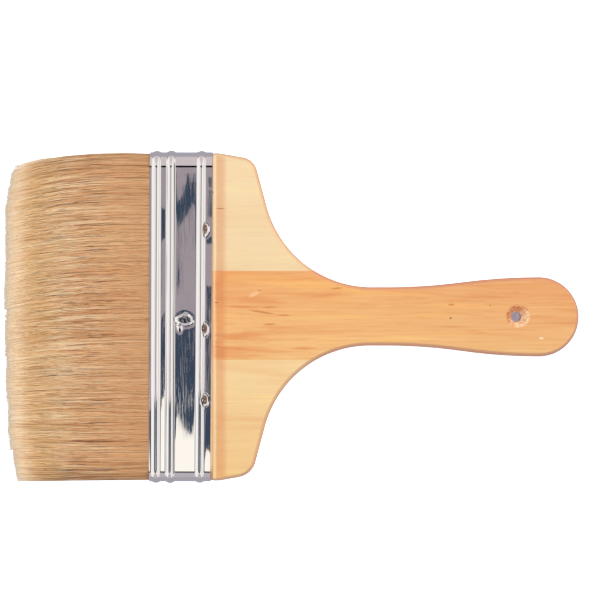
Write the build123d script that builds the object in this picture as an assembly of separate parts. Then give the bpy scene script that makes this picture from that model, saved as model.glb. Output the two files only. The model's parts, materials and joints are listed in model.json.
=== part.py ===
from build123d import *
from typing import NamedTuple
import math
import os
import random

# A 6 inch flat wall brush: natural bristles in a beaded tinplate ferrule, on a glued wood handle.
# It lies on its back. +X points to the handle's end, +Z is up out of the front face.
# While it is drawn, x = 0 is the shoulder line, where the ferrule ends and the wood begins,
# and z = 0 is the brush's middle plane. All sizes are in millimetres.

# Ferrule
ferrule_width = 152.0
ferrule_thickness = 15.2
ferrule_depth = 29.4
sheet = 0.4
bead_width = 4.0
bead_height = 0.65
middle_bead_height = 0.8
first_bead = 3.1  # crest, from the bristle edge
second_bead = 9.8  # crest, from the bristle edge
third_bead = 5.5  # crest, from the handle edge
seam_offset = 52.0  # middle of the lap seam on the back face
seam_lap = 9.0

# Handle
handle_length = 168.7
handle_width = 151.0
handle_thickness = 18.4
edge_inset = 1.7  # how far the sides fall in towards the broad faces
edge_fall = 6.0
edge_round = 10.0
shoulder_straight = 3.0
shoulder_slope = 10.0  # degrees
shoulder_lean = 75.0  # degrees that the side has turned through below the shoulder
cove_radius = 50.0
neck_straight = 6.8
grip_width = 36.6
upper_seam = 21.1  # glue seams, from the long axis
lower_seam = 19.7
collar_thickness = 16.2
collar_length = 1.8
collar_round = 0.8
bevel_length = 3.9
bevel_round = 8.0
tenon_depth = 17.0

# Hanging hole
hole_radius = 2.4
hole_from_end = 29.2
countersink_radius = 5.0
countersink_depth = 1.8

# Nails
small_nail_at = 3.0  # from the handle edge of the ferrule
small_nail_offsets = {"upper": 40.5, "middle": -5.2, "lower": -38.0}
small_nail_head = 1.3
small_nail_shank = 0.6
small_nail_length = 6.0
small_dent_radius = 2.5
small_dent_floor = 1.4
small_dent_depth = 0.7
centre_nail_offset = -1.5
centre_nail_head = 2.1
centre_nail_shank = 0.9
centre_nail_length = 6.2
centre_dent_radius = 4.2
centre_dent_floor = 2.3
centre_dent_depth = 1.0
nail_head_height = 0.5
nail_head_bevel = 0.6
nail_point = 1.6
nail_tip = 0.2

# Bristles: each strand stands for a lock of bristles
bristle_length = 67.0  # past the ferrule
bristle_columns = 38
bristle_rows = 4  # in each bank
column_gap = 0.6
row_gap = 0.3
tip_taper = 0.7  # width of a strand's tip as a share of its belly
root_recess = 2.2  # from the ferrule's mouth to the face of the set roots
root_overlap = 0.3  # how far a strand is set into its slice of roots
side_margin = 0.8
belly_thickness = 17.6  # the banks swell to this
belly_at = 0.5  # share of the free length
tip_thickness = 13.0
upper_gather = 5.5  # how far the tips draw in at each side
lower_gather = 1.0
gather_at_belly = 0.25  # share of the gather that the belly has
side_shortening = 4.5  # how much shorter the bristles are at the sides
tip_scatter = 1.3
side_scatter = 0.2
resin_depth = 2.6
plug_thickness = 3.2
plug_width = 134.0
bank_gap = 0.3

# Clearances
fit_gap = 0.15  # between the ferrule and what it holds
seat_gap = 0.1  # between faces that butt
nail_gap = 0.04
overrun = 2.0  # how far a cutter passes the faces that it cuts
band_depth = 1.5  # how deep the beaded skin goes before the plain core takes over

# Places that follow from the sizes
half_width = ferrule_width / 2
half_thickness = ferrule_thickness / 2
side_centre = half_width - half_thickness
mouth = -ferrule_depth
tenon_end = -tenon_depth
resin_front = tenon_end - seat_gap - resin_depth
root_back = resin_front - seat_gap
root_face = mouth + root_recess
full_height = handle_thickness / 2
held_inset = sheet + fit_gap
beads = {
    mouth + first_bead: bead_height,
    mouth + second_bead: middle_bead_height,
    -third_bead: bead_height,
}
centre_nail_x = (mouth + second_bead - third_bead) / 2


class Side(NamedTuple):
    """One side of the handle."""

    slope_length: float  # of the shoulder's top, up to its rounded corner
    shoulder_round: float
    neck: float


upper_side = Side(slope_length=11.2, shoulder_round=8.0, neck=13.7)
lower_side = Side(slope_length=9.3, shoulder_round=9.5, neck=13.3)


class Nail(NamedTuple):
    """A nail of the front face, with the dent that it sits in."""

    x: float
    y: float
    head: float
    shank: float
    length: float
    dent_radius: float
    floor_radius: float
    dent_depth: float

    def floor(self):
        """Height of the dent's flat floor, which the head lies on."""
        return half_thickness - self.dent_depth

    def dent_slope(self):
        return (self.dent_radius - self.floor_radius) / self.dent_depth


def front_nails():
    """The nails of the front face by name."""
    large = (centre_nail_head, centre_nail_shank, centre_nail_length)
    large_dent = (centre_dent_radius, centre_dent_floor, centre_dent_depth)
    small = (small_nail_head, small_nail_shank, small_nail_length)
    small_dent = (small_dent_radius, small_dent_floor, small_dent_depth)
    nails = {"centre_nail": Nail(centre_nail_x, centre_nail_offset, *large, *large_dent)}
    for name, offset in small_nail_offsets.items():
        nails[f"nail_{name}"] = Nail(-small_nail_at, offset, *small, *small_dent)
    return nails


def perimeter(inset):
    """The ferrule's outline around the brush, inset from its outer face."""
    height = half_thickness - inset
    edges = [
        CenterArc((side_centre, 0), height, 0, 90),
        Line((side_centre, height), (-side_centre, height)),
        CenterArc((-side_centre, 0), height, 90, 180),
        Line((-side_centre, -height), (side_centre, -height)),
        CenterArc((side_centre, 0), height, -90, 90),
    ]
    return Wire([(Plane.YZ * edge).edge() for edge in edges])


def face_height(y, inset):
    """Height of the outline above the middle plane at one place across the brush."""
    past_side_centre = max(abs(y) - side_centre, 0)
    return math.sqrt(max((half_thickness - inset) ** 2 - past_side_centre**2, 0))


def plain_bar(inset, start, end):
    """A bar of the ferrule's section, from x = start to x = end."""
    return extrude(Pos(start, 0, 0) * Face(perimeter(inset)), end - start, dir=(1, 0, 0))


def beaded_bar(inset, start, end):
    """The same bar with the three beads standing out of it."""
    skin = half_width - inset
    core = skin - band_depth
    edges = []
    here = (start, skin)
    for crest, height in beads.items():
        radius = ((bead_width / 2) ** 2 + height**2) / (2 * height)
        swing = math.degrees(math.acos((radius - height - inset) / (radius - inset)))
        bead = CenterArc((crest, half_width + height - radius), radius - inset, 90 + swing, -2 * swing)
        edges += [Line(here, bead @ 0), bead]
        here = bead @ 1
    edges += [
        Line(here, (end, skin)),
        Line((end, skin), (end, core)),
        Line((end, core), (start, core)),
        Line((start, core), (start, skin)),
    ]
    band = sweep(make_face(edges), path=perimeter(0))
    return band + plain_bar(inset + band_depth / 2, start, end)


def both_faces(shapes):
    """The shapes with their mirror images on the back face."""
    return shapes + [mirror(shape, Plane.XY) for shape in shapes]


def dents(inset):
    """The cones that press the nails' dents into both faces."""
    cones = []
    for nail in front_nails().values():
        height = nail.dent_depth + overrun
        cone = Cone(nail.floor_radius, nail.floor_radius + nail.dent_slope() * height, height)
        cones.append(Pos(nail.x, nail.y, nail.floor() - inset + height / 2) * cone)
    return both_faces(cones)


def shank_holes():
    """The holes that the nails' shanks make in the sheet and the tenon."""
    holes = []
    for nail in front_nails().values():
        height = overrun + nail.length
        hole = Cylinder(nail.shank + nail_gap, height)
        holes.append(Pos(nail.x, nail.y, nail.floor() + overrun - height / 2) * hole)
    return both_faces(holes)


def make_nail(nail):
    """A nail with a bevelled head, which lies on the floor of its dent."""
    profile = Polyline(
        (0, -nail.length),
        (nail_tip, -nail.length),
        (nail.shank, nail_point - nail.length),
        (nail.shank, 0),
        (nail.head, 0),
        (nail.head - nail_head_bevel, nail_head_height),
        (0, nail_head_height),
        close=True,
    )
    body = revolve(Plane.XZ * make_face(profile), Axis.Z)
    return Pos(nail.x, nail.y, nail.floor() + nail_gap) * body


def make_ferrule():
    """Sheet metal wrapped round the brush, beaded, dented at each nail and lapped at its seam."""
    seam = Pos(mouth / 2, seam_offset, -half_thickness) * Box(ferrule_depth, seam_lap, ferrule_thickness)
    lap = beaded_bar(-sheet, mouth, 0) & seam
    outer = beaded_bar(0, mouth, 0) - dents(0)
    inner = beaded_bar(sheet, mouth - overrun, overrun) - dents(sheet)
    return outer + lap - inner - shank_holes()


def side_outline(side):
    """Half of the handle's face: a wide shoulder, a cove down to the neck, and a swelling grip."""
    shoulder = handle_width / 2
    neck = side.neck
    grip = grip_width / 2
    slope = math.radians(shoulder_slope)
    lean = math.radians(shoulder_lean)
    # The shoulder slopes, turns in, runs straight, and meets the neck line in the cove.
    slope_end = (
        shoulder_straight + side.slope_length * math.cos(slope),
        shoulder - side.slope_length * math.sin(slope),
    )
    round_centre = (
        slope_end[0] - side.shoulder_round * math.sin(slope),
        slope_end[1] - side.shoulder_round * math.cos(slope),
    )
    round_end = (
        round_centre[0] + side.shoulder_round * math.sin(lean),
        round_centre[1] + side.shoulder_round * math.cos(lean),
    )
    corner = round_end[0] + (round_end[1] - neck) / math.tan(lean)
    leg = cove_radius * math.tan(lean / 2)
    cove_start = (corner - leg * math.cos(lean), neck + leg * math.sin(lean))
    cove_end = corner + leg
    # The grip swells through two equal arcs and ends in a half circle.
    swell_start = cove_end + neck_straight
    swell_end = handle_length - grip
    half_run = (swell_end - swell_start) / 2
    half_rise = (grip - neck) / 2
    swell_radius = (half_run**2 + half_rise**2) / (2 * half_rise)
    swing = math.degrees(math.asin(half_run / swell_radius))
    turn = shoulder_lean - shoulder_slope
    return make_face(
        [
            Line((0, 0), (0, shoulder)),
            Line((0, shoulder), (shoulder_straight, shoulder)),
            Line((shoulder_straight, shoulder), slope_end),
            CenterArc(round_centre, side.shoulder_round, 90 - shoulder_lean, turn),
            Line(round_end, cove_start),
            CenterArc((cove_end, neck + cove_radius), cove_radius, 270 - shoulder_lean, shoulder_lean),
            Line((cove_end, neck), (swell_start, neck)),
            CenterArc((swell_start, neck + swell_radius), swell_radius, 270, swing),
            CenterArc((swell_end, grip - swell_radius), swell_radius, 90, swing),
            CenterArc((swell_end, 0), grip, 0, 90),
            Line((handle_length, 0), (0, 0)),
        ]
    )


def shaped_sides():
    """The handle as wide as it gets, with its sides falling in towards both broad faces."""
    outline = side_outline(upper_side) + mirror(side_outline(lower_side), Plane.XZ)
    blank = extrude(outline, full_height, both=True)
    for direction in (Axis.Z, -Axis.Z):
        face = blank.faces().sort_by(direction)[-1]
        rim = [edge for edge in face.edges() if edge.center().X > seat_gap]
        blank = blank.chamfer(edge_inset, edge_fall, rim, face)
        fallen = face.center().Z - math.copysign(edge_fall, face.center().Z)
        creases = blank.edges().filter_by_position(Axis.Z, fallen, fallen)
        blank = fillet([edge for edge in creases if edge.center().X > seat_gap], edge_round)
    return blank


def shoulder_profile():
    """The handle seen from the side: its broad faces slope down to a collar at the ferrule."""
    end = handle_length + overrun
    bevel_end = (collar_length + bevel_length, full_height)
    half = make_face(
        Polyline(
            (seat_gap, 0),
            (seat_gap, collar_thickness / 2),
            (collar_length, collar_thickness / 2),
            bevel_end,
            (end, full_height),
            (end, 0),
            close=True,
        )
    )
    half = fillet(half.vertices().sort_by_distance(bevel_end)[0], bevel_round)
    upper = extrude(Plane.XZ * half, handle_width, both=True)
    return upper + mirror(upper, Plane.XY)


def hanging_hole():
    """A drilled hole, countersunk on both faces."""
    slope = (countersink_radius - hole_radius) / countersink_depth
    height = countersink_depth + overrun
    sink = Cone(hole_radius, countersink_radius + slope * overrun, height)
    sink = Pos(0, 0, full_height - countersink_depth + height / 2) * sink
    hole = Cylinder(hole_radius, handle_thickness + overrun) + both_faces([sink])
    return Pos(handle_length - hole_from_end, 0, 0) * hole


def make_handle():
    """The whole handle, before it is parted at its glue seams."""
    blank = shaped_sides() & shoulder_profile()
    end_face = blank.faces().sort_by(Axis.X)[0]
    blank = fillet(end_face.edges(), collar_round)
    tenon = plain_bar(held_inset, tenon_end, overrun) - dents(held_inset)
    return blank + tenon - shank_holes() - hanging_hole()


def board(handle, low, high):
    """The part of the handle between two places across it."""
    length = tenon_depth + handle_length + 2 * overrun
    middle = (handle_length - tenon_depth) / 2
    return handle & Pos(middle, (low + high) / 2, 0) * Box(length, high - low, handle_thickness + overrun)


def make_resin():
    """The resin behind the bristle roots."""
    return plain_bar(held_inset, resin_front, resin_front + resin_depth)


def plug_strip(gap):
    """The wood strip that keeps the two banks of bristles apart, or the space it needs."""
    depth = root_back - root_face + 2 * gap
    strip = Box(depth, plug_width + 2 * gap, plug_thickness + 2 * gap)
    return Pos((root_back + root_face) / 2, 0, 0) * strip


def root_slice():
    """The front bank's bristle roots, set solid in resin."""
    half = Box(ferrule_depth, ferrule_width, half_thickness)
    half = Pos(mouth / 2, 0, (half_thickness + bank_gap) / 2) * half
    return plain_bar(held_inset, root_face, root_back) & half - plug_strip(seat_gap)


def strand_section(x, y, z, width, height):
    """The corners of one four-sided section of a strand."""
    near, far = y - width / 2, y + width / 2
    low, high = z - height / 2, z + height / 2
    return [(x, near, low), (x, far, low), (x, far, high), (x, near, high)]


def make_strand(sections):
    """A strand with flat sides from each section to the next."""
    outlines = [sections[0], sections[-1]]
    for start, end in zip(sections, sections[1:]):
        for corner in range(len(start)):
            outlines.append([start[corner - 1], start[corner], end[corner], end[corner - 1]])
    return Solid(Shell([Face(Wire.make_polygon(outline)) for outline in outlines]))


def make_bank(seed):
    """The front bank of bristles: strands in columns and rows, fused to their slice of roots."""
    scatter = random.Random(seed)
    half_span = half_width - held_inset - side_margin
    pitch = 2 * half_span / bristle_columns
    width = pitch - column_gap
    strands = []
    for column in range(bristle_columns):
        y = (column + 0.5) * pitch - half_span
        share = abs(y) / half_span
        side = math.copysign(1, y)
        gather = (upper_gather if y > 0 else lower_gather) * share**3
        outer = face_height(abs(y) + width / 2, held_inset)
        inner = bank_gap / 2
        if abs(y) < (plug_width + pitch) / 2:
            inner = plug_thickness / 2 + seat_gap
        taper = outer / face_height(0, held_inset)
        # Inner and outer height of the bank at the roots, the belly and the tips.
        heights = [
            (inner, outer),
            ((inner + bank_gap) / 2, taper * belly_thickness / 2),
            (bank_gap / 2, taper * tip_thickness / 2),
        ]
        for row in range(bristle_rows):
            length = bristle_length - side_shortening * share**4 - scatter.uniform(0, tip_scatter)
            places = [root_face + root_overlap, mouth - belly_at * length, mouth - length]
            drawn_in = [0, gather_at_belly * gather, gather]
            wander = [0, scatter.uniform(-side_scatter, side_scatter), 0]
            sizes = [1, 1, tip_taper]
            sections = []
            for x, (low, high), draw, drift, size in zip(places, heights, drawn_in, wander, sizes):
                row_pitch = (high - low) / bristle_rows
                z = low + (row + 0.5) * row_pitch
                height = (row_pitch - row_gap) * size
                sections.append(strand_section(x, y - side * draw + drift, z, width * size, height))
            strands.append(make_strand(sections))
    return root_slice().fuse(*strands)


handle = make_handle()
nodes = {
    "handle_centre_board": board(handle, -lower_seam, upper_seam),
    "handle_upper_wing": board(handle, upper_seam, handle_width),
    "handle_lower_wing": board(handle, -handle_width, -lower_seam),
    "ferrule": make_ferrule(),
    "setting_resin": make_resin(),
    "spacer_plug": plug_strip(0),
    "bristles_front": make_bank(3),
    "bristles_back": mirror(make_bank(5), Plane.XY),
}
for name, nail in front_nails().items():
    nodes[f"front_{name}"] = make_nail(nail)
    nodes[f"back_{name}"] = mirror(make_nail(nail), Plane.XY)

# The finished brush lies with the middle of its box over the origin and its back at z = 0.
solids = [solid for shape in nodes.values() for solid in shape.solids()]
box = Compound(solids).bounding_box()
shift = Pos(-(box.min.X + box.max.X) / 2, 0, -box.min.Z)
os.makedirs("parts", exist_ok=True)
for name, shape in nodes.items():
    export_step(shift * shape, f"parts/{name}.step")

print("strands", 2 * bristle_columns * bristle_rows)
print("shoulder line at x", shift.position.X, "middle plane at z", shift.position.Z)
print("hanging hole at x", handle_length - hole_from_end + shift.position.X)
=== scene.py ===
import json
import math

import bpy
import numpy as np
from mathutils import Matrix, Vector

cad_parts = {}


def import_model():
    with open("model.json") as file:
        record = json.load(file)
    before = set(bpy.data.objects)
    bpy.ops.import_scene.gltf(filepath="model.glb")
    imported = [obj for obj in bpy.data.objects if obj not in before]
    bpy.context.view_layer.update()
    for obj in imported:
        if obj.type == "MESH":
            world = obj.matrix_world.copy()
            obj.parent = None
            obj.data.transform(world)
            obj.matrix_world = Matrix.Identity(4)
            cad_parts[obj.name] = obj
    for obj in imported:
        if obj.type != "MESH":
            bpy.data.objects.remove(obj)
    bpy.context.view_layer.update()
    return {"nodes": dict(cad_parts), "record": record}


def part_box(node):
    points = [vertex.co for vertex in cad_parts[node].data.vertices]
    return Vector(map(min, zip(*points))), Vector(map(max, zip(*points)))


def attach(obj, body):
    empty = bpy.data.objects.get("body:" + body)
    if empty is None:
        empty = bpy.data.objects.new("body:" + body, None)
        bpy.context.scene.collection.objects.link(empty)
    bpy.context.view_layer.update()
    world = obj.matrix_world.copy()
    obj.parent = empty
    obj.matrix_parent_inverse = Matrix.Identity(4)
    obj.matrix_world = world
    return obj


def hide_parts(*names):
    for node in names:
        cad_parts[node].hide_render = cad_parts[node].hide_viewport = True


# The looks of a wide flat wall brush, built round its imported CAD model.
# +X points along the handle, +Y to the brush's upper side and +Z out of its front face. Sizes are
# in metres, or in millimetres where a comment or docstring says so or MM follows.

MM = 0.001

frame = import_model()

# Places taken from the frame
ferrule_low, ferrule_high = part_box("ferrule")
board_low, board_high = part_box("handle_centre_board")
bank_low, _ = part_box("bristles_front")
RIM = ferrule_high.x  # where the ferrule ends and the wood shows
MOUTH = ferrule_low.x  # where the bristles come out
TIPS = bank_low.x
MIDDLE = (board_low.z + board_high.z) / 2  # height of the brush's middle plane
HALF_BOARD = (board_high.z - board_low.z) / 2
HOLE = next(Vector(m["pos_m"]) for m in frame["record"]["mounts"] if m["name"] == "hang_hole")

# Sizes that the ferrule's surface repeats from the CAD model
BEAD_WIDTH = 4.0 * MM
# Each bead's place along X and its height
BEADS = {MOUTH + 3.1 * MM: 0.65 * MM, MOUTH + 9.8 * MM: 0.8 * MM, RIM - 5.5 * MM: 0.65 * MM}
TALLEST_BEAD = max(BEADS.values())
HALF_WIDTH = ferrule_high.y - TALLEST_BEAD
HALF_THICKNESS = ferrule_high.z - TALLEST_BEAD - MIDDLE
SIDE_CENTRE = HALF_WIDTH - HALF_THICKNESS  # where its half round sides start to curve
SHEET = 0.4 * MM


def colour(red, green, blue):
    """A linear colour from the 0 to 255 values of a colour as it is seen."""
    shades = []
    for value in (red, green, blue):
        share = value / 255
        shades.append(share / 12.92 if share <= 0.04045 else ((share + 0.055) / 1.055) ** 2.4)
    return (*shades, 1.0)


def smooth_step(value, low, high):
    """0 up to low, 1 from high on, and a smooth curve between them."""
    share = np.clip((value - low) / (high - low), 0, 1)
    return share * share * (3 - 2 * share)


# ---------------------------------------------------------------- meshes


def mesh_object(name, points, faces, smooth=True):
    """A new object from lists or arrays of points and faces."""
    mesh = bpy.data.meshes.new(name)
    mesh.from_pydata([tuple(point) for point in points], [], [tuple(face) for face in faces])
    mesh.validate()
    mesh.update()
    if smooth:
        mesh.shade_smooth()
    piece = bpy.data.objects.new(name, mesh)
    bpy.context.scene.collection.objects.link(piece)
    return piece


def dress(piece, material, node):
    """Gives a new piece its material and its body, and hides the CAD node that it stands for."""
    piece.data.materials.append(material)
    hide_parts(node)
    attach(piece, "root")


# ---------------------------------------------------------------- shader nodes


class Nodes:
    """A node tree being built, with short calls for the nodes that several of them use."""

    def __init__(self, tree):
        self.tree = tree

    def node(self, kind, inputs=None, **settings):
        node = self.tree.nodes.new("ShaderNode" + kind)
        for key, value in settings.items():
            setattr(node, key, value)
        for key, value in (inputs or {}).items():
            self.feed(node.inputs[key], value)
        return node

    def feed(self, socket, value):
        """Links a socket to another node's output, or sets its value."""
        if isinstance(value, bpy.types.NodeSocket):
            self.tree.links.new(value, socket)
        else:
            socket.default_value = value

    def place(self):
        """Where a point lies, in metres in the brush's frame."""
        return self.node("TexCoord").outputs["Object"]

    def axis(self, vector, letter):
        return self.node("SeparateXYZ", {0: vector}).outputs[letter]

    def stretched(self, vector, scale, offset=(0, 0, 0)):
        mapping = self.node("Mapping", {"Vector": vector, "Scale": scale, "Location": offset})
        return mapping.outputs[0]

    def noise(self, vector, detail=2.0, roughness=0.5, distortion=0.0):
        inputs = {"Vector": vector, "Scale": 1.0, "Detail": detail}
        inputs |= {"Roughness": roughness, "Distortion": distortion}
        return self.node("TexNoise", inputs).outputs[0]

    def ramp(self, value, *stops):
        """A colour ramp from pairs of place and colour."""
        node = self.node("ValToRGB", {"Fac": value})
        points = node.color_ramp.elements
        while len(points) < len(stops):
            points.new(0.5)
        for point, (position, shade) in zip(points, stops):
            point.position = position
            point.color = shade
        return node.outputs[0]

    def span(self, value, low, high, to_low=0.0, to_high=1.0, kind="SMOOTHSTEP"):
        """A value carried from one range to another, and held at its ends."""
        inputs = {0: value, 1: low, 2: high, 3: to_low, 4: to_high}
        return self.node("MapRange", inputs, interpolation_type=kind).outputs[0]

    def number(self, operation, *values):
        return self.node("Math", dict(enumerate(values)), operation=operation).outputs[0]

    def plus(self, first, second):
        return self.number("ADD", first, second)

    def minus(self, first, second):
        return self.number("SUBTRACT", first, second)

    def times(self, first, second):
        return self.number("MULTIPLY", first, second)

    def absolute(self, value):
        return self.number("ABSOLUTE", value)

    def vector(self, operation, *values):
        node = self.node("VectorMath", dict(enumerate(values)), operation=operation)
        return node.outputs["Value" if operation in ("LENGTH", "DISTANCE") else "Vector"]

    def mix(self, share, first, second, blend="MIX"):
        """The first colour, with a share of the second blended in."""
        node = self.node("Mix", data_type="RGBA", blend_type=blend)
        factor, colour_a, colour_b = 0, 6, 7  # the node's inputs for colours
        self.feed(node.inputs[factor], share)
        self.feed(node.inputs[colour_a], first)
        self.feed(node.inputs[colour_b], second)
        return node.outputs[2]


class Shader(Nodes):
    """A material being built."""

    def __init__(self, name, **settings):
        self.material = bpy.data.materials.new(name)
        self.material.use_nodes = True
        super().__init__(self.material.node_tree)
        self.surface = self.tree.nodes["Principled BSDF"]
        for socket, value in settings.items():
            self.surface.inputs[socket.replace("_", " ")].default_value = value

    def bump(self, height, distance, strength=1.0):
        bump = self.node("Bump", {"Height": height, "Distance": distance, "Strength": strength})
        self.feed(self.surface.inputs["Normal"], bump.outputs[0])


# ---------------------------------------------------------------- wood

# How often the grain's bands, streaks, dashes and torn fibres come in a metre along X, Y and Z
BANDS, STREAKS, DASHES, TORN = (8, 95, 95), (38, 900, 900), (120, 1700, 1700), (500, 1500, 500)
RINGS = 1300  # growth rings, in radians a metre along Y
RING_SWAY = 30  # radians that the bands push the rings
MARK_DEPTH = 5 * MM  # how far a mark reaches below the front face
RING_ASIDE = (0.9 * MM, 0.3 * MM, 0)  # from the hole's centre to that of the torn ring


def oval(shader, place, centre, reach, tilt, soft):
    """1 in the middle of an oval mark on the front face and 0 outside it. Its centre and reach are
    in mm, and its tilt is in degrees."""
    inputs = {"Vector": place, "Location": (centre[0] * MM, centre[1] * MM, board_high.z)}
    inputs |= {"Rotation": (0, 0, math.radians(tilt))}
    inputs |= {"Scale": (reach[0] * MM, reach[1] * MM, MARK_DEPTH)}
    turned = shader.node("Mapping", inputs, vector_type="TEXTURE").outputs[0]
    return shader.span(shader.vector("LENGTH", turned), 1.0, 1.0 - soft)


def grain(shader, place, base, seed, streaks, dark):
    """Lays the grain over a colour, and gives that colour and the height of the pores."""
    broad = shader.noise(shader.stretched(place, BANDS, (seed, 0, 0)), 3, 0.6, 0.6)
    along_rings = shader.times(shader.axis(place, "Y"), RINGS)
    rings = shader.number("SINE", shader.plus(shader.times(broad, RING_SWAY), along_rings))
    fine = shader.noise(shader.stretched(place, STREAKS, (0, seed, 0)), 4, 0.62, 0.2)
    dashes = shader.noise(shader.stretched(place, DASHES, (0, 0, seed)), 2, 0.5)
    layers = [
        (broad, 0.48, 0.72, 0.55 * streaks, colour(232, 158, 92), "MULTIPLY"),
        (broad, 0.45, 0.25, 0.5, colour(255, 226, 180), "SOFT_LIGHT"),
        (rings, 0.3, 1.0, 0.1 * streaks, colour(226, 172, 112), "MULTIPLY"),
        (fine, 0.52, 0.72, 0.28 * streaks, colour(226, 150, 96), "MULTIPLY"),
        (fine, 0.48, 0.3, 0.22 * streaks, colour(252, 214, 156), "MIX"),
        (dashes, 0.62, 0.75, dark, colour(200, 120, 70), "MULTIPLY"),
    ]
    for value, none_at, full_at, most, tone, blend in layers:
        base = shader.mix(shader.span(value, none_at, full_at, 0, most), base, tone, blend)
    return base, shader.plus(fine, shader.times(dashes, 0.5))


def edge_tint_and_painted_light(shader, place, base):
    """Darkens the slanting bevel, and paints light and shade on the sides, with a painted highlight
    line beside the ferrule's rim."""
    normal = shader.node("NewGeometry").outputs["Normal"]
    forward, upward = (shader.absolute(shader.axis(normal, letter)) for letter in "XZ")
    slanting = shader.span(forward, 0.0, 0.3, kind="LINEAR")
    bevel = shader.times(slanting, shader.span(upward, 0.9, 0.95))
    # The slanting bevel, which faces along the handle, is darker
    base = shader.mix(bevel, base, colour(243, 215, 202), "MULTIPLY")
    # Painted shade and highlight on the sides: darker towards the middle plane, lighter towards the
    # front and back faces, and lighter still where they face the handle's end
    rise = shader.absolute(shader.minus(shader.axis(place, "Z"), MIDDLE))
    edge_highlight_share = shader.span(rise, 3.5 * MM, HALF_BOARD, kind="LINEAR")
    side = shader.mix(edge_highlight_share, colour(246, 205, 170), (1.28, 1.14, 0.98, 1))
    end = shader.span(shader.axis(normal, "X"), 0.3, 0.9)
    side = shader.mix(end, side, (1.12, 1.12, 1.1, 1), "MULTIPLY")
    base = shader.mix(shader.span(upward, 0.7, 0.4), base, side, "MULTIPLY")
    # A painted highlight along the collar beside the ferrule's rim
    collar_highlight = shader.span(shader.axis(place, "X"), RIM + 1.4 * MM, RIM + 1.0 * MM, 0, 0.5)
    return shader.mix(collar_highlight, base, colour(255, 224, 188))


def torn_ring(shader, place, base):
    """Lays the torn fibres round the hanging hole over a colour, and gives that colour and the
    fibres' height."""
    away = shader.vector("SUBTRACT", place, (HOLE.x, HOLE.y, 0))
    aside = shader.vector("SUBTRACT", away, RING_ASIDE)
    distance = shader.vector("LENGTH", shader.vector("MULTIPLY", aside, (1, 1, 0)))
    torn = shader.noise(shader.stretched(place, TORN), 4, 0.7, 1.5)
    ring = shader.span(shader.plus(distance, shader.times(torn, 2.2 * MM)), 6.9 * MM, 5.8 * MM)
    lean = shader.minus(shader.axis(away, "X"), shader.axis(away, "Y"))
    fibres = shader.ramp(
        shader.plus(torn, shader.times(lean, 12)),
        (0.36, colour(190, 104, 58)),
        (0.5, colour(226, 160, 104)),
        (0.62, colour(255, 222, 178)),
    )
    return shader.mix(ring, base, fibres), shader.times(shader.times(ring, torn), 12)


def wood(name, node, upper, lower, seed, streaks, dark, marks=()):
    """Dresses a board in lacquered light wood with its grain along X, from its upper edge's colour
    to its lower edge's. Each mark is an oval: centre, reach, tilt, softness, share and colour."""
    shader = Shader(name, Roughness=0.36, Coat_Weight=0.4, Coat_Roughness=0.12)
    place = shader.place()
    low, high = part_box(node)
    upwards = shader.span(shader.axis(place, "Y"), low.y, high.y, kind="LINEAR")
    base = shader.mix(upwards, lower, upper)
    # It is a little darker towards the handle's end
    towards_end = shader.span(shader.axis(place, "X"), 10 * MM, 90 * MM)
    base = shader.mix(towards_end, base, (0.93, 0.89, 0.88, 1), "MULTIPLY")
    base, pores = grain(shader, place, base, seed, streaks, dark)
    for centre, reach, tilt, soft, share, shade in marks:
        spot = oval(shader, place, centre, reach, tilt, soft)
        base = shader.mix(shader.times(spot, share), base, shade)
    base = edge_tint_and_painted_light(shader, place, base)
    base, relief = torn_ring(shader, place, base)
    shader.feed(shader.surface.inputs["Base Color"], base)
    shader.bump(shader.plus(pores, relief), 0.02 * MM, 0.5)
    materials = frame["nodes"][node].data.materials
    materials.clear()
    materials.append(shader.material)


DEEP, ORANGE = colour(205, 112, 58), colour(222, 132, 74)
WING_MARKS = [
    ((-32.6, 49.7), (2.8, 0.4), 0, 0.6, 0.8, colour(196, 122, 84)),
    ((-35.9, 57.2), (0.5, 0.9), 20, 0.5, 0.9, colour(120, 70, 50)),
]
GRIP_MARKS = [
    ((-22.5, 4.6), (12, 0.9), -2, 0.8, 0.7, ORANGE),
    ((-13.5, 2.2), (8.5, 0.7), -9, 0.7, 0.75, DEEP),
    ((-3.5, 0.8), (4.5, 0.5), -3, 0.7, 0.65, DEEP),
    ((-10.0, 4.4), (5, 0.6), 3, 0.7, 0.6, DEEP),
    ((-9.8, -3.4), (4.2, 0.6), 2, 0.7, 0.7, DEEP),
    ((-19.0, -7.5), (7, 0.5), 1, 0.8, 0.5, ORANGE),
    ((5.5, -14.5), (9, 0.7), 0, 0.8, 0.6, ORANGE),
    ((16.0, 9.8), (16, 1.6), 5, 1.0, 0.5, ORANGE),
    ((21.0, 13.1), (3.6, 0.6), 4, 0.7, 0.7, DEEP),
    ((73.5, 5.6), (2.2, 0.7), 0, 0.8, 0.75, DEEP),
    ((77.0, 7.6), (14, 1.0), 0, 1.0, 0.5, ORANGE),
    ((84.0, -6.2), (5.0, 0.6), 0, 0.8, 0.45, ORANGE),
    ((73.2, -0.5), (0.5, 0.45), 0, 0.4, 1.0, colour(78, 46, 22)),
    ((91.3, 5.2), (0.45, 0.35), 0, 0.4, 0.8, colour(150, 92, 50)),
    ((48.7, -12.9), (0.8, 0.4), 10, 0.4, 0.9, colour(130, 70, 45)),
    ((114.8, -9.8), (1.4, 0.6), 0, 0.5, 0.8, colour(250, 232, 205)),
    ((-17.0, 10.4), (3.6, 1.3), 25, 0.6, 0.6, colour(250, 205, 160)),
    ((-14.6, 12.2), (1.1, 0.3), 0, 0.5, 0.8, DEEP),
    ((-34.4, 6.6), (1.6, 0.35), 0, 0.6, 0.9, colour(170, 84, 46)),
]
PALE = colour(244, 220, 174), colour(242, 217, 170)
GRIP = colour(238, 171, 105), colour(243, 195, 127)
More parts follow.
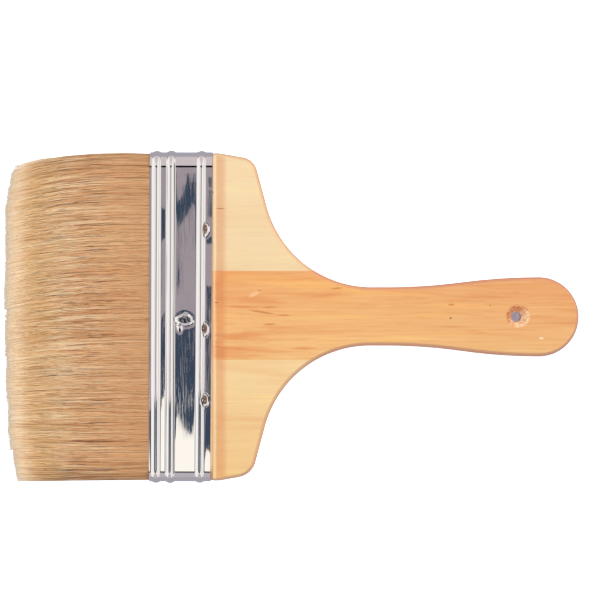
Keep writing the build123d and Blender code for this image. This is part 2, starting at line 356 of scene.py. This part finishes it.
LOWER = colour(245, 215, 159), colour(241, 202, 140)
wood("pale_wood", "handle_upper_wing", *PALE, seed=1.0, streaks=0.35, dark=0.08, marks=WING_MARKS)
wood("grip_wood", "handle_centre_board", *GRIP, seed=2.0, streaks=1.0, dark=0.16, marks=GRIP_MARKS)
wood("lower_wood", "handle_lower_wing", *LOWER, seed=3.0, streaks=0.5, dark=0.1)


# ---------------------------------------------------------------- ferrule

FLAT_HIGH, FLAT_LOW = 69.0 * MM, 71.4 * MM  # how far its faces stay flat towards each side
LEVEL = 0.99  # a normal's height from which the sheet counts as flat
LAP_LOW, LAP_HIGH = 47.5 * MM, 56.5 * MM  # the lap seam on the back face
LAP_EDGE = 0.12 * MM  # the width of the step at each end of the lap
BEAD_FOOT = 0.05 * MM  # how softly a bead rises from the sheet
BEAD_REACH = 0.6 * BEAD_WIDTH  # where rows of points lie closer, to each side of a crest
ROWS, BEAD_ROWS = 40, 25  # of points along the whole band and over each bead
LEAST_ROW = 0.1 * MM  # rows closer than this become one
FLAT_COLUMNS, SIDE_COLUMNS = 215, 34  # of points across each face and round each side

# The ripples of the sheet: wave lengths along X and Y and height in mm, and phase in radians
RIPPLES = [(31, -47, 0.006, 0.4), (-90, 23, 0.002, 2.1), (17, 90, 0.002, 1.2), (60, 140, 0.01, 5)]


def small_dent(y):
    """The two ovals of a small nail's dent, as in DENTS."""
    return [(-3.0, y, 2.0, 3.4, 0.16, 0.1), (-3.2, y, 1.5, 2.9, 0.3, 0.65)]


# The ovals pressed round each nail: x from the rim, y, half its length along x and along y and its
# depth in mm, and the share that is flat
DENTS = {
    "centre_nail": [
        (-12.6, -0.9, 4.8, 4.0, 0.13, 0.1),
        (-12.6, -0.8, 4.2, 2.6, 0.34, 0.66),
        (-15.1, -4.5, 1.2, 2.7, 0.36, 0.0),
    ],
    "nail_upper": small_dent(40.5),
    "nail_middle": small_dent(-5.2),
    "nail_lower": small_dent(-38.0),
}


def tin():
    """Bright tinplate, finely scratched along its length."""
    shader = Shader("tinplate", Metallic=1.0, Base_Color=colour(238, 236, 236))
    place = shader.place()
    lines = shader.noise(shader.stretched(place, (3000, 90, 3000)), 4, 0.65)
    # The scratches are strongest below the middle and fade towards both sides
    high = shader.span(shader.axis(place, "Y"), 6 * MM, -2 * MM, 0.25, 1)
    low = shader.span(shader.axis(place, "Y"), -46 * MM, -34 * MM, 0.1, 1)
    scratches = shader.times(shader.span(lines, 0.5, 0.75), shader.times(high, low))
    roughness = shader.plus(shader.times(scratches, 0.1), 0.015)
    shader.feed(shader.surface.inputs["Roughness"], roughness)
    shader.bump(scratches, 0.0016 * MM)
    return shader.material


def bead_height(x):
    """Height of the swaged beads over the plain band."""
    total = np.zeros_like(x)
    for crest, height in BEADS.items():
        radius = ((BEAD_WIDTH / 2) ** 2 + height**2) / (2 * height)
        arc = np.sqrt(np.maximum(radius**2 - (x - crest) ** 2, 0)) - (radius - height)
        total += (arc + np.sqrt(arc**2 + BEAD_FOOT**2)) / 2
    return total


def dent_depth(x, y):
    """How far the sheet is pressed in round the nails."""
    total = np.zeros_like(x)
    for place_x, place_y, reach_x, reach_y, depth, flat in sum(DENTS.values(), []):
        across = (x - RIM - place_x * MM) / (reach_x * MM)
        along = (y - place_y * MM) / (reach_y * MM)
        turn = np.arctan2(along, across)
        lopsided = 1 - 0.22 * np.cos(turn + 2.2)
        uneven = lopsided + 0.08 * np.cos(3 * turn + place_y) + 0.04 * np.cos(5 * turn)
        away = np.hypot(across, along) * uneven
        total += depth * MM * (1 - smooth_step(away, flat, 1.0))
    return total


def ripple(x, y):
    """The slight unevenness of thin sheet, which bends what it mirrors."""
    waves = 0 * x
    for length_x, length_y, height, phase in RIPPLES:
        turn = 2 * math.pi * (x / (length_x * MM) + y / (length_y * MM)) + phase
        waves += height * MM * np.sin(turn)
    return waves


def lap_step(y, normal_z):
    """The end of the sheet lies over its start on the back face."""
    over = smooth_step(y, LAP_LOW - LAP_EDGE, LAP_LOW)
    over = over * (1 - smooth_step(y, LAP_HIGH, LAP_HIGH + LAP_EDGE))
    return np.where(normal_z < -LEVEL, over * SHEET, 0)


def ferrule_lengthwise():
    """Places along the band, close together over the beads."""
    places = set(np.linspace(MOUTH, RIM, ROWS))
    for crest in BEADS:
        places |= set(np.linspace(crest - BEAD_REACH, crest + BEAD_REACH, BEAD_ROWS))
    ordered = sorted(place for place in places if MOUTH <= place <= RIM)
    kept = [ordered[0]]
    for place in ordered[1:]:
        if place - kept[-1] > LEAST_ROW:
            kept.append(place)
    kept[-1] = RIM
    return np.array(kept)


def ferrule_around():
    """Points and outward normals round the band's plain outline: y, z, normal y, normal z."""
    flat = set(np.linspace(-FLAT_LOW, FLAT_HIGH, FLAT_COLUMNS))
    flat |= {LAP_LOW - LAP_EDGE, LAP_LOW, LAP_HIGH, LAP_HIGH + LAP_EDGE}
    flat = np.array(sorted(flat))
    level = 0 * flat
    back = np.stack([flat, level - HALF_THICKNESS, level, level - 1], 1)
    front = np.stack([flat, level + HALF_THICKNESS, level, level + 1], 1)[::-1]
    turn = np.linspace(0, math.pi, SIDE_COLUMNS)[1:-1]
    sine, cosine = np.sin(turn), np.cos(turn)
    ends = []
    for side, reach in ((1, FLAT_HIGH), (-1, FLAT_LOW)):
        swell = HALF_WIDTH - reach
        normal = np.stack([side * sine / swell, -side * cosine / HALF_THICKNESS], 1)
        normal /= np.linalg.norm(normal, axis=1)[:, None]
        place = [side * (reach + swell * sine), -side * HALF_THICKNESS * cosine]
        ends.append(np.concatenate([np.stack(place, 1), normal], 1))
    return np.concatenate([back, ends[0], front, ends[1]])


def ferrule_skew(x, y):
    """How far a place is shifted along X. The beads sit nearer the rim than in the CAD model, and
    the rim slants away from the wood towards the lower side, the mouth less."""
    share = (y - HALF_WIDTH) / (2 * HALF_WIDTH)
    along = (x - MOUTH) / (RIM - MOUTH)
    return (0.55 * (1 - along**8) + share * (0.4 + 0.7 * along)) * MM


def ferrule():
    """The beaded, dented band, slightly askew as on a hand-made brush."""
    xs = ferrule_lengthwise()
    ring = ferrule_around()
    x = xs[:, None] + 0 * ring[None, :, 0]
    y, z, normal_y, normal_z = (ring[None, :, i] + 0 * x for i in range(4))
    pressed = np.where(np.abs(normal_z) > LEVEL, dent_depth(x, y) - ripple(x, y), 0)
    height = bead_height(x) + lap_step(y, normal_z) - pressed
    askew = x + ferrule_skew(x, y)
    layers = []
    for lift in (height, height - SHEET):
        points = np.stack([askew, y + normal_y * lift, MIDDLE + z + normal_z * lift], 2)
        layers.append(points.reshape(-1, 3))
    rows, columns = x.shape
    inner = rows * columns  # the number of the inner side's first point
    last = (rows - 1) * columns  # the number of the rim's first point
    faces = []
    for i in range(rows - 1):
        for j in range(columns):
            a, b = i * columns + j, i * columns + (j + 1) % columns
            c, d = a + columns, b + columns
            faces.append((a, b, d, c))
            faces.append((inner + a, inner + c, inner + d, inner + b))
    for j in range(columns):
        k = (j + 1) % columns
        faces.append((j, inner + j, inner + k, k))
        faces.append((last + j, last + k, inner + last + k, inner + last + j))
    piece = mesh_object("ferrule_band", np.concatenate(layers), faces)
    # The sheet's two cut ends are sharp
    for edge in piece.data.edges:
        rows_met = [vertex % inner // columns for vertex in edge.vertices]
        edge.use_edge_sharp = rows_met in ([0, 0], [rows - 1, rows - 1])
    dress(piece, tin(), "ferrule")


ferrule()

# ---------------------------------------------------------------- nails

NAIL_SIDES = 28
CROWN_STEPS = 6
NAIL_POINT = 1.6 * MM
HEAD_RISE = 0.5 * MM  # from the head's underside to its top
CROWN_RISE = 0.75 * HEAD_RISE  # the rounded part of it
SHANK_SHARE, UNDERSIDE_SHARE = 0.3, 0.96  # radii, as shares of the head's


def steel(name, bright, dark, roughness, metal):
    """A nail's steel, bright in patches."""
    shader = Shader(name, Metallic=metal, Roughness=roughness)
    patches = shader.noise(shader.stretched(shader.place(), (700, 900, 900)), 3, 0.6)
    tint = shader.ramp(patches, (0.5, dark), (0.6, bright))
    shader.feed(shader.surface.inputs["Base Color"], tint)
    return shader.material


def nail(name, front, material, stretch, lift, shift=0.0):
    """A round-headed nail in its dent, on the axis of its CAD node but for the shift. stretch makes
    its head oval, and lift raises it over that of the node."""
    low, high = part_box(name)
    centre_x, centre_y = (low.x + high.x) / 2 - shift, (low.y + high.y) / 2
    head = (high.x - low.x) / 2
    shank = SHANK_SHARE * head
    up = 1 if front else -1
    top = (high.z if front else low.z) + up * lift
    tip = low.z if front else high.z
    profile = [(0, tip), (shank, tip + up * NAIL_POINT), (shank, top - up * HEAD_RISE)]
    profile += [(UNDERSIDE_SHARE * head, top - up * HEAD_RISE), (head, top - up * CROWN_RISE)]
    for step in range(1, CROWN_STEPS + 1):
        turn = step / CROWN_STEPS * math.pi / 2
        profile.append((head * math.cos(turn), top - up * CROWN_RISE * (1 - math.sin(turn))))
    points, faces = [], []
    for radius, height in profile:
        for i in range(NAIL_SIDES):
            turn = 2 * math.pi * i / NAIL_SIDES
            out_x = radius * stretch[0] * math.cos(turn)
            out_y = radius * stretch[1] * math.sin(turn)
            points.append((centre_x + out_x, centre_y + out_y, height))
    for row in range(len(profile) - 1):
        for i in range(NAIL_SIDES):
            j = (i + 1) % NAIL_SIDES
            a, b = row * NAIL_SIDES + i, row * NAIL_SIDES + j
            c, d = a + NAIL_SIDES, b + NAIL_SIDES
            faces.append((a, b, d, c) if front else (a, c, d, b))
    dress(mesh_object(name + "_round", points, faces), material, name)


RUST, RUST_SHADE = colour(168, 146, 128), colour(120, 92, 74)
STEEL, STEEL_SHADE = colour(206, 204, 206), colour(52, 64, 78)
RUSTED = steel("rusted_steel", RUST, RUST_SHADE, roughness=0.42, metal=0.5)
DARK_STEEL = steel("dark_steel", STEEL, STEEL_SHADE, roughness=0.18, metal=0.9)
for dent_name in DENTS:
    for face in ("front_", "back_"):
        full_name, is_front = face + dent_name, face == "front_"
        if dent_name == "centre_nail":
            nail(full_name, is_front, DARK_STEEL, stretch=(1.42, 0.72), lift=0.4 * MM)
        else:
            nail(full_name, is_front, RUSTED, stretch=(0.72, 1.75), lift=0.2 * MM, shift=0.3 * MM)

# ---------------------------------------------------------------- bristles

STRAND_STEPS = np.array([0, 0.2, 0.42, 0.62, 0.8, 0.92, 1.0])
STRANDS = {"front": 8200, "back": 5600}
STRAND_RADIUS = 0.17 * MM
ROOT_DEPTH = 1.6 * MM  # how far a strand's line starts inside the ferrule
HALF_ROOTS = HALF_WIDTH - SHEET - 0.5 * MM  # half the width of the rows of roots
LOCK_WIDTH = 1.9 * MM
LOCKS = int(2 * HALF_ROOTS / LOCK_WIDTH) + 1  # in one layer
LAYERS = 3  # of locks, one over another in a bank
LOCK_SHIFT = 0.37  # how far a layer's locks lie beside those below, in widths of a lock
LOCK_TOTAL = (LAYERS + 1) * LOCKS + 8  # with a few to spare
SHELL = 0.86  # the depth at which the bank's outer shell starts
# Random spreads at the tip: a lock's lean to a side, and a strand's bend, wave, slant and lift
LOCK_SWAY, BEND, WAVE, SLANT, LIFT = 0.3 * MM, 1.2 * MM, 0.4 * MM, 1.5 * MM, 0.18 * MM
TUFT_WIDTH = 0.9 * LOCK_WIDTH
TUFT_STRAY = 0.25 * MM  # the spread with which strands stray into the next tuft
TUFT_SHORT = 1.9 * MM  # the most that a whole tuft falls short
STRAND_SHORT = 0.8 * MM  # how far one strand falls short, on average
TUFT_SEED = 5  # both banks share their tufts
TINT_MIDDLE, LOCK_TINT, STRAND_TINT = 0.52, 0.05, 0.28  # a strand's usual tint, and its spreads


def bristle():
    """Natural bristle. A strand's tint runs along U and its length along V."""
    shader = Shader("bristle", Roughness=0.5, Emission_Strength=0.2)
    grid = shader.node("UVMap", uv_map="OFBake").outputs[0]
    mottle = shader.noise(shader.stretched(grid, (900, 7, 1)), 2, 0.6)
    sway = shader.times(shader.minus(mottle, 0.5), 1.1)
    mottled = shader.plus(shader.axis(grid, "X"), sway)
    # Strands stand apart more towards the tips
    along = shader.axis(grid, "Y")
    spread = shader.span(along, 0.1, 0.85, 0.7, 1.45)
    apart = shader.times(shader.minus(mottled, TINT_MIDDLE), spread)
    # Paler along the strand, and more so from about halfway towards the tips: partly the strands'
    # own paler tone, partly painted light that evens out the shade where the bank slopes away from
    # the light
    centre = shader.plus(
        shader.span(along, 0.2, 0.8, 0.52, 0.62), shader.span(along, 0.42, 0.76, 0, 0.32)
    )
    tint = shader.ramp(
        shader.plus(apart, centre),
        (0.0, colour(140, 104, 96)),
        (0.12, colour(186, 132, 92)),
        (0.3, colour(226, 164, 108)),
        (0.5, colour(230, 188, 140)),
        (0.85, colour(248, 211, 162)),
        (1.0, colour(255, 234, 200)),
    )
    toned = shader.mix(shader.span(along, 0.35, 0.0, 0, 0.6), tint, colour(222, 172, 122))
    # Painted light: warmer and brighter from halfway to near the tips, where the bank's face slopes
    # away from the light
    painted_lift = shader.mix(shader.span(along, 0.5, 0.85, 0, 0.45), toned, colour(255, 214, 146))
    late = shader.span(along, 0.84, 1.0, kind="LINEAR")
    late = shader.times(late, shader.span(mottled, 0.1, 0.7, 0.6, 1.1))
    pale = shader.mix(shader.times(late, 0.85), painted_lift, colour(255, 244, 228))
    ends = shader.mix(shader.span(along, 0.982, 0.995), pale, colour(232, 214, 192))
    # The thin tips glow: painted light that stands for the light coming through them
    lit = shader.mix(shader.span(along, 0.76, 1.04), (0, 0, 0, 1), colour(255, 240, 208))
    shader.feed(shader.surface.inputs["Emission Color"], lit)
    shader.feed(shader.surface.inputs["Base Color"], ends)
    return shader.material


# The functions below take one value for each strand, and for a strand's steps s from 0 at its root
# to 1 at its tip. share is how far out a root stands, from 0 in the middle to 1 at either side, and
# depth how far its strand lies from the inside of the bank, at 0, to its outer face, at 1. They
# draw from one generator, so the order of their calls matters. The bare factors in them shape the
# curves, and are in millimetres where MM follows.


def strand_depth(draw, share):
    """Most strands lie in the bank's outer shell, but fewer do at the sides."""
    depth = draw.uniform(0, 1, len(share)) ** 0.6
    shell = draw.uniform(0, 1, len(share)) < np.where(share < 0.92, 0.7, 0.2)
    return np.where(shell, draw.uniform(SHELL, 1, len(share)), depth)


def tuft_length(draw, y, share):
    """How far each strand's tuft falls short, as a negative length."""
    strayed = y + HALF_ROOTS + draw.normal(0, TUFT_STRAY, len(y))
    tuft = (strayed / TUFT_WIDTH).astype(int)
    lengths = np.random.default_rng(TUFT_SEED).uniform(-TUFT_SHORT, 0, tuft.max() + 2)
    return lengths[tuft] * (1 - share**12)


def strand_length(draw, y, share, tuft):
    """Length from the mouth to the tip, shorter towards the two sides."""
    lower = 5.2 * share**5 + 1.0 * smooth_step(-y / HALF_ROOTS, 0.1, 0.6)
    longest = MOUTH - TIPS - np.where(y > 0, 4.2 * share**7, lower) * MM
    length = longest + tuft - draw.exponential(STRAND_SHORT, len(y))
    return np.clip(length, 0.75 * (MOUTH - TIPS), MOUTH - TIPS - 0.05 * MM)


def strand_sideways(draw, s, y, share, lock_sway, lock_centre):
    """How far each point strays along Y from its root."""
    bend, wave, slant = (draw.normal(0, spread, len(y)) for spread in (BEND, WAVE, SLANT))
    bend, wave, slant = bend[:, None], wave[:, None], (slant * (1 - share**6))[:, None]
    # The whole bank drifts towards its lower side, and swells at both sides
    upper_drift = 2.4 * smooth_step(y / HALF_ROOTS, 0.5, 1.0)
    drift = (6.6 * smooth_step(y / HALF_ROOTS, -1.0, 0.35) + upper_drift - 0.6) * MM
    swell = (np.where(y > 0, 0.5, -0.1) * MM * share**8)[:, None] * smooth_step(s, 0, 0.15)
    pull = 0.1 * (lock_centre - y)[:, None]
    strayed = lock_sway[:, None] * s**1.5 + slant * s + bend * s**2
    strayed = strayed + wave * np.sin(5 * s + bend * 9000) * s
    return strayed + (pull * s**1.4 + swell - drift[:, None] * s**2.8)


def bank_outer(s, taper):
    """Height of the bank's outer face over the middle plane, from root to tip."""
    return taper * (7.0 + 7.7 * s - 8.2 * s**2) * MM


def strand_height(draw, s, y, share, depth):
    """Height of each point over the middle plane."""
    past = np.maximum(np.abs(y) - SIDE_CENTRE, 0)
    held = HALF_THICKNESS - SHEET - 0.2 * MM
    taper = np.sqrt(np.maximum(held**2 - past**2, 0)) / held
    outer = bank_outer(s, np.maximum(taper, 0.12)[:, None])
    # The banks close round the ends of the plug and cross a little at the tips, where the outer
    # strands fall in
    aside = smooth_step(share, 0.84, 0.93)[:, None]
    crossing = MM * np.maximum(0.7 * aside, 0.6 * s**5)
    inner = 1.7 * MM * np.maximum(1 - 2 * s, 0) * (1 - aside) - crossing
    even = draw.uniform(0, 1, len(y))[:, None]
    here = depth[:, None] + (even - depth[:, None]) * 0.8 * s**5
    z = inner + (outer - inner) * here
    z += draw.normal(0, LIFT, len(y))[:, None] * s * (depth[:, None] < 0.93)
    return np.clip(z, 0.05 * MM - crossing, outer)


def strands(count, up, seed):
    """Every strand's centre line, as count rows with one point for each step, and its tint."""
    draw = np.random.default_rng(seed)
    y = draw.uniform(-HALF_ROOTS, HALF_ROOTS, count)
    share = np.abs(y) / HALF_ROOTS
    depth = strand_depth(draw, share)
    layer = (depth * LAYERS).astype(int)
    lock = ((y + HALF_ROOTS) / LOCK_WIDTH + LOCK_SHIFT * layer).astype(int) + LOCKS * layer
    lock_centre = (((lock % LOCKS) + 0.5 - LOCK_SHIFT * layer) * LOCK_WIDTH) - HALF_ROOTS
    lock_sway = draw.normal(0, LOCK_SWAY, LOCK_TOTAL)[lock]
    tuft = tuft_length(draw, y, share)
    lock_tint = draw.normal(0, LOCK_TINT, LOCK_TOTAL)[lock]
    length = strand_length(draw, y, share, tuft)
    s = STRAND_STEPS[None, :]
    x = MOUTH + ROOT_DEPTH - (length[:, None] + ROOT_DEPTH) * s
    across = y[:, None] + strand_sideways(draw, s, y, share, lock_sway, lock_centre)
    across = np.clip(across, -HALF_WIDTH + 0.3 * MM, HALF_WIDTH - 0.3 * MM)
    z = strand_height(draw, s, y, share, depth)
    tint = TINT_MIDDLE + lock_tint + draw.normal(0, STRAND_TINT, count)
    tint = np.clip(tint, 0.01, 0.99)
    return np.stack([x, across, MIDDLE + up * z], 2), tint


def strand_mesh(name, lines, tints):
    """Three-sided tapering strands round the given centre lines, as one mesh."""
    count, steps = lines.shape[:2]
    radius = STRAND_RADIUS * (1 - 0.4 * STRAND_STEPS**6)
    corner = np.arange(3)
    turns = corner * 2 * math.pi / 3 + math.pi / 2
    ring = np.stack([0 * turns, np.cos(turns), np.sin(turns)], 1)
    points = lines[:, :, None, :] + ring[None, None] * radius[None, :, None, None]
    first = (np.arange(count) * steps * 3)[:, None, None]
    row = first + (np.arange(steps - 1) * 3)[None, :, None]
    here, beside = row + corner, row + (corner + 1) % 3
    quads = np.stack([here, here + 3, beside + 3, beside], 3).reshape(-1, 4)
    ends = first[:, 0] + (steps - 1) * 3 + corner[::-1]
    piece = mesh_object(name, points.reshape(-1, 3), quads.tolist() + ends.tolist())
    grid = piece.data.uv_layers.new(name="OFBake")
    corners = np.zeros(len(piece.data.loops), np.int32)
    piece.data.loops.foreach_get("vertex_index", corners)
    strand = corners // (steps * 3)
    step = corners % (steps * 3) // 3
    places = np.stack([tints[strand], STRAND_STEPS[step]], 1)
    grid.data.foreach_set("uv", places.astype(np.float32).ravel())
    return piece


def bristles(side, up, seed, material):
    """One bank, in two pieces. The one called upper holds the half at lower Y, and the one called
    lower the other."""
    lines, tints = strands(STRANDS[side], up, seed)
    half = len(lines) // 2
    order = np.argsort(lines[:, 0, 1])
    for part, chosen in (("upper", order[:half]), ("lower", order[half:])):
        piece = strand_mesh(f"{side}_bristles_{part}", lines[chosen], tints[chosen])
        dress(piece, material, "bristles_" + side)


BRISTLE = bristle()
bristles("front", up=1, seed=11, material=BRISTLE)
bristles("back", up=-1, seed=12, material=BRISTLE)

# ---------------------------------------------------------------- stage

CAMERA_HEIGHT = 1.6
VIEW_WIDTH = 276.96 * MM  # what the camera sees at the brush's middle plane
VIEW_CENTRE = (4.05 * MM, 7.75 * MM)
CARD_HEIGHT = 1.2
CARD_GAP = 10 * MM  # between cards that lie one under another
FLOOR_LEVEL = -0.1 * MM
FLOOR_REACH = 6.0


def glow(name, shade, strength):
    """A material that only shines."""
    material = bpy.data.materials.new(name)
    material.use_nodes = True
    material.node_tree.nodes.clear()
    nodes = Nodes(material.node_tree)
    emission = nodes.node("Emission", {"Color": shade, "Strength": strength})
    nodes.node("OutputMaterial", {"Surface": emission.outputs[0]})
    return material


def reflected(x, y, z):
    """Where a ray from the camera, mirrored at this place on the uneven sheet, meets the height of
    the cards."""
    share = (CARD_HEIGHT - z) / (CAMERA_HEIGHT - z)
    step = 0.5 * MM
    slope_x = (ripple(x + step, y) - ripple(x - step, y)) / (2 * step)
    slope_y = (ripple(x, y + step) - ripple(x, y - step)) / (2 * step)
    bend = -2 * (CARD_HEIGHT - z)
    return (
        x + (x - VIEW_CENTRE[0]) * share + bend * slope_x,
        y + (y - VIEW_CENTRE[1]) * share + bend * slope_y,
    )


def card(name, outline, shade, strength=1.0, level=0):
    """A card over the brush that only its gloss sees. Its outline is what the ferrule shows of it,
    in millimetres from the ferrule's rim and from the long axis."""
    top = MIDDLE + HALF_THICKNESS
    height = CARD_HEIGHT - level * CARD_GAP
    points = [(*reflected(RIM + x * MM, y * MM, top), height) for x, y in outline]
    piece = mesh_object(name, points, [range(len(points))], smooth=False)
    piece.data.materials.append(glow(name, shade, strength))
    for kind in ("camera", "diffuse", "transmission", "volume_scatter", "shadow"):
        setattr(piece, "visible_" + kind, False)


def cards():
    """What the bright tin mirrors: mauve all over, navy and cream in patches, and dark edges."""
    card("mauve_card", [(-100, 85), (72, 85), (72, -90), (-100, -90)], colour(168, 158, 164))
    navy = colour(62, 76, 94)
    upper = [(-11.6, 65.7), (-10.8, 65.7), (-10.2, 61.5), (-9.4, 61.5), (-9.0, 65.7), (-7.6, 65.7)]
    upper += [(-7.9, 54.5), (-10.4, 48.5), (-15.7, 39.5), (-16.2, 10), (-17.6, 10), (-18, 34)]
    upper += [(-24.5, 36), (-24.5, 49), (-16.6, 51.5), (-13.6, 56), (-12.2, 61)]
    card("upper_navy_card", upper, navy, level=1)
    # The line where the lower navy card and the cream card meet
    meeting = [(1.5, -64.5), (-2.7, -59.6), (-8.3, -55), (-10.6, -52.7), (-13.8, -47.6)]
    meeting += [(-16.1, -42.6), (-23.5, -35.6), (-29, -29)]
    lower = [(-4.5, -2.4), (-4.5, -6), (1.5, -8), *meeting, (-29, 2), (-17, 1), (-7, -2.4)]
    card("lower_navy_card", lower, navy, level=1)
    rims = {"first": (63.4, 59.4), "second": (57.6, 46), "third": (36.5, 34), "fourth": (13.5, -2)}
    for name, (high, low) in rims.items():
        outline = [(-4.6, high), (1.5, high + 0.6), (1.5, low), (-4.6, low - 0.8)]
        card(name + "_rim_card", outline, navy, level=1)
    cream = [(-32, -26), *reversed(meeting), (4, -67), (4, -90), (-32, -90)]
    card("cream_card", cream, colour(255, 250, 240), 1.15, level=2)
    black = colour(20, 20, 26)
    card("upper_black_card", [(-200, 85), (170, 85), (170, 190), (-200, 190)], black)
    card("lower_black_card", [(-200, -90), (170, -90), (170, -190), (-200, -190)], black)
    dusk = colour(96, 94, 106)
    card("left_dusk_card", [(-122, 85), (-100, 85), (-100, -90), (-122, -90)], dusk)
    card("right_dusk_card", [(72, 85), (94, 85), (94, -90), (72, -90)], dusk)
    card("left_navy_card", [(-280, -34), (-36, -42), (-36, -90), (-280, -90)], navy, level=1)
    card("right_navy_card", [(7, -42), (250, -34), (250, -90), (7, -90)], navy, level=1)


def world():
    """Soft light all round: bright at both ends, dimmer past the brush's two edges and below."""
    studio = bpy.data.worlds.new("studio")
    bpy.context.scene.world = studio
    studio.use_nodes = True
    sky = Nodes(studio.node_tree)
    direction = sky.node("TexCoord").outputs["Generated"]
    x, y, z = (sky.axis(direction, letter) for letter in "XYZ")
    # Dark lines low down at both ends and grey ones higher up, which the ferrule's beads mirror
    wavy = sky.noise(sky.stretched(direction, (3, 60, 3)), 2)
    white, grey, dark = colour(255, 255, 255), colour(190, 180, 186), colour(70, 72, 86)
    stops = [(0.0, dark), (0.05, dark), (0.08, white), (0.30, white), (0.34, grey), (0.36, white)]
    stops += [(0.83, white), (0.87, grey), (0.91, white), (0.96, white), (0.985, dark)]
    lines = sky.ramp(sky.plus(sky.span(x, -1, 1, kind="LINEAR"), sky.times(wavy, 0.08)), *stops)
    bright = sky.mix(1.0, (1.05, 1.02, 0.98, 1), lines, "MULTIPLY")
    dim = sky.mix(sky.span(y, -0.1, 0.1), colour(194, 187, 194), colour(216, 205, 208))
    beside = sky.minus(sky.absolute(x), sky.times(sky.absolute(y), 0.45))
    above = sky.mix(sky.span(beside, -0.05, 0.08), dim, bright)
    whole = sky.mix(sky.span(z, -0.1, 0.1), colour(176, 172, 180), above)
    sky.feed(sky.tree.nodes["Background"].inputs["Color"], whole)


def key_light():
    """A soft lamp beyond the upper side and the handle's end, which gloss doesn't show."""
    light = bpy.data.lights.new("key", "AREA")
    light.energy = 10.3
    light.size = 1.2
    lamp = bpy.data.objects.new("key", light)
    bpy.context.scene.collection.objects.link(lamp)
    lamp.location = (0.8, 0.95, 0.95)
    lamp.rotation_mode = "QUATERNION"
    lamp.rotation_quaternion = (-Vector(lamp.location)).to_track_quat("-Z", "Y")
    lamp.visible_glossy = False


def floor():
    """Plain pale paper that glows evenly white, but dim and bluish round the hanging hole: painted
    shade that shows through it.
    """
    reach = FLOOR_REACH
    corners = [(-reach, -reach), (reach, -reach), (reach, reach), (-reach, reach)]
    points = [(*corner, FLOOR_LEVEL) for corner in corners]
    piece = mesh_object("floor", points, [(0, 1, 2, 3)], smooth=False)
    shader = Shader("floor")
    paper = shader.node("BsdfDiffuse", {"Color": (1.25, 1.55, 1.9, 1)})
    # Painted shade: the glow is dim and bluish round the hanging hole
    away = shader.vector("DISTANCE", shader.place(), (HOLE.x, HOLE.y, FLOOR_LEVEL))
    open_floor = shader.span(away, 6 * MM, 9 * MM)
    shade = shader.mix(open_floor, (0.06, 0.1, 0.2, 1), (0.5, 0.5, 0.5, 1))
    gleam = shader.node("Emission", {"Color": shade, "Strength": 1.0})
    both = shader.node("AddShader", {0: paper.outputs[0], 1: gleam.outputs[0]})
    shader.feed(shader.tree.nodes["Material Output"].inputs["Surface"], both.outputs[0])
    piece.data.materials.append(shader.material)
    piece.visible_glossy = False
    piece.visible_diffuse = False


def camera():
    """Straight above the brush, as wide as the view."""
    lens = bpy.data.cameras.new("camera")
    lens.sensor_width = 36
    lens.lens = lens.sensor_width * (CAMERA_HEIGHT - MIDDLE) / VIEW_WIDTH
    lens.clip_end = 50
    eye = bpy.data.objects.new("camera", lens)
    eye.location = (*VIEW_CENTRE, CAMERA_HEIGHT)
    bpy.context.scene.collection.objects.link(eye)
    bpy.context.scene.camera = eye


cards()
world()
key_light()
floor()
camera()
bpy.context.scene.view_settings.view_transform = "Standard"
